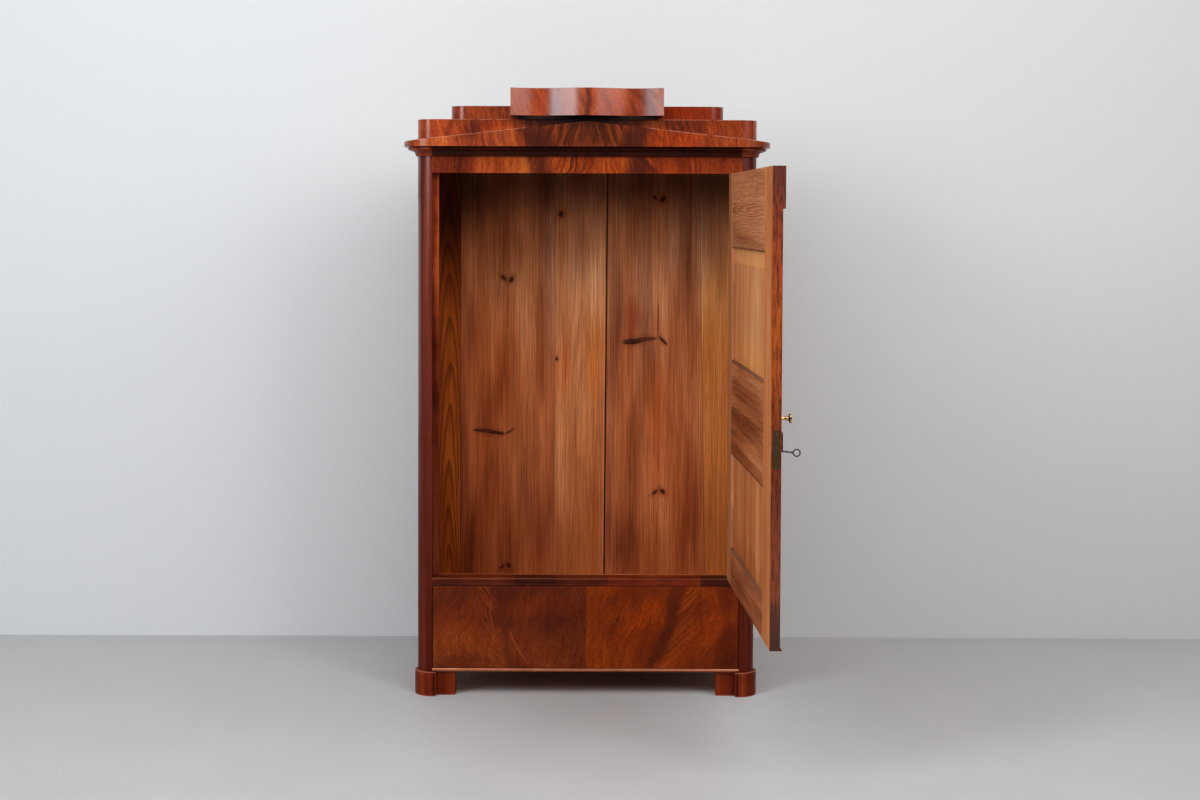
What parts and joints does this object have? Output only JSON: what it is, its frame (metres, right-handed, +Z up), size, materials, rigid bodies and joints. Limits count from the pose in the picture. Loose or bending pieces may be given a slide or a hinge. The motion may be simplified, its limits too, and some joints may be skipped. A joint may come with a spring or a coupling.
{
  "type": "wardrobe",
  "caption": "Tall wooden wardrobe with rounded front corners, stepped attic and serpentine crown, a hinged panelled door with lock and key, and a drawer in the base.",
  "frame": {"origin": "on the floor, midway across the case and midway through its depth", "axes": "+X to the right seen from the front, +Y to the back, +Z up"},
  "size_m": [1.264, 1.6221, 2.1],
  "materials": {
    "mahogany": "old shellac polish",
    "flame_mahogany": "flame veneer under old shellac polish",
    "dark_wood": "dark stain",
    "pine": "bare, darkened by age",
    "stained_pine": "bare, darkened by age",
    "iron": "dull, dark",
    "dark_brass": "dark patina",
    "brass": "worn polish",
    "dark_bronze": "dark brown",
    "steel": "worn, dull"
  },
  "bodies": {
    "case": {"left_side_panel": "mahogany", "right_side_panel": "mahogany", "left_column": "mahogany", "right_column": "mahogany", "door_stops": "mahogany", "frieze": "mahogany", "opening_rail": "mahogany", "base_bead": "mahogany", "cornice_moulding": "mahogany", "pediment_board": "mahogany", "cornice_returns": "mahogany", "lower_attic_front": "mahogany", "lower_attic_sides": "mahogany", "upper_attic_front": "mahogany", "upper_attic_sides": "mahogany", "front_feet": "mahogany", "foot_blocks": "mahogany", "crown_front": "flame_mahogany", "crown_sides": "flame_mahogany", "crown_cleat": "dark_wood", "rail_riser": "pine", "floor_board": "pine", "floor_bearers": "pine", "ceiling_board": "pine", "base_board": "pine", "lower_attic_top": "pine", "upper_attic_top": "pine", "crown_top": "pine", "rear_feet": "pine", "drawer_runners": "pine", "back_board_1": "pine", "back_board_2": "pine", "back_board_3": "pine", "back_board_4": "pine", "back_board_5": "pine", "case_pivots": "iron", "strike_plate": "iron"},
    "door": {"door_hinge_stile": "stained_pine", "door_lock_stile": "stained_pine", "door_top_rail": "stained_pine", "door_middle_rail": "stained_pine", "door_bottom_rail": "stained_pine", "door_upper_panel": "stained_pine", "door_lower_panel": "stained_pine", "door_veneer": "mahogany", "door_head_board": "mahogany", "door_foot_bead": "mahogany", "door_pivots": "iron", "lock_case": "dark_brass", "escutcheon": "dark_bronze", "knob": "brass"},
    "drawer": {"drawer_front": "flame_mahogany", "drawer_left_side": "pine", "drawer_right_side": "pine", "drawer_back": "pine", "drawer_bottom": "pine"},
    "bolt": {"lock_bolt": "steel"},
    "key": {"key": "steel"}
  },
  "joints": [
    {"name": "door_swing", "type": "hinge", "parent": "case", "child": "door", "pos_m": [0.525, -0.287, 0.994], "axis": [0, 0, 1], "range_deg": [-92.7, 77.3]},
    {"name": "drawer_slide", "type": "slide", "parent": "case", "child": "drawer", "axis": [0, -1, 0], "range_m": [0, 0.4]},
    {"name": "key_turn", "type": "hinge", "parent": "door", "child": "key", "pos_m": [0.55783, -1.29107, 0.986], "axis": [-0.9934, -0.0468, 0.1045], "range_deg": [0, 360]},
    {"name": "bolt_slide", "type": "slide", "parent": "door", "child": "bolt", "axis": [0.0471, -0.9989, 0], "range_m": [0, 0.012]}
  ],
  "couplings": [
    {"joint": "key_turn", "follows": "bolt_slide", "rad_per_m": 523.59}
  ]
}
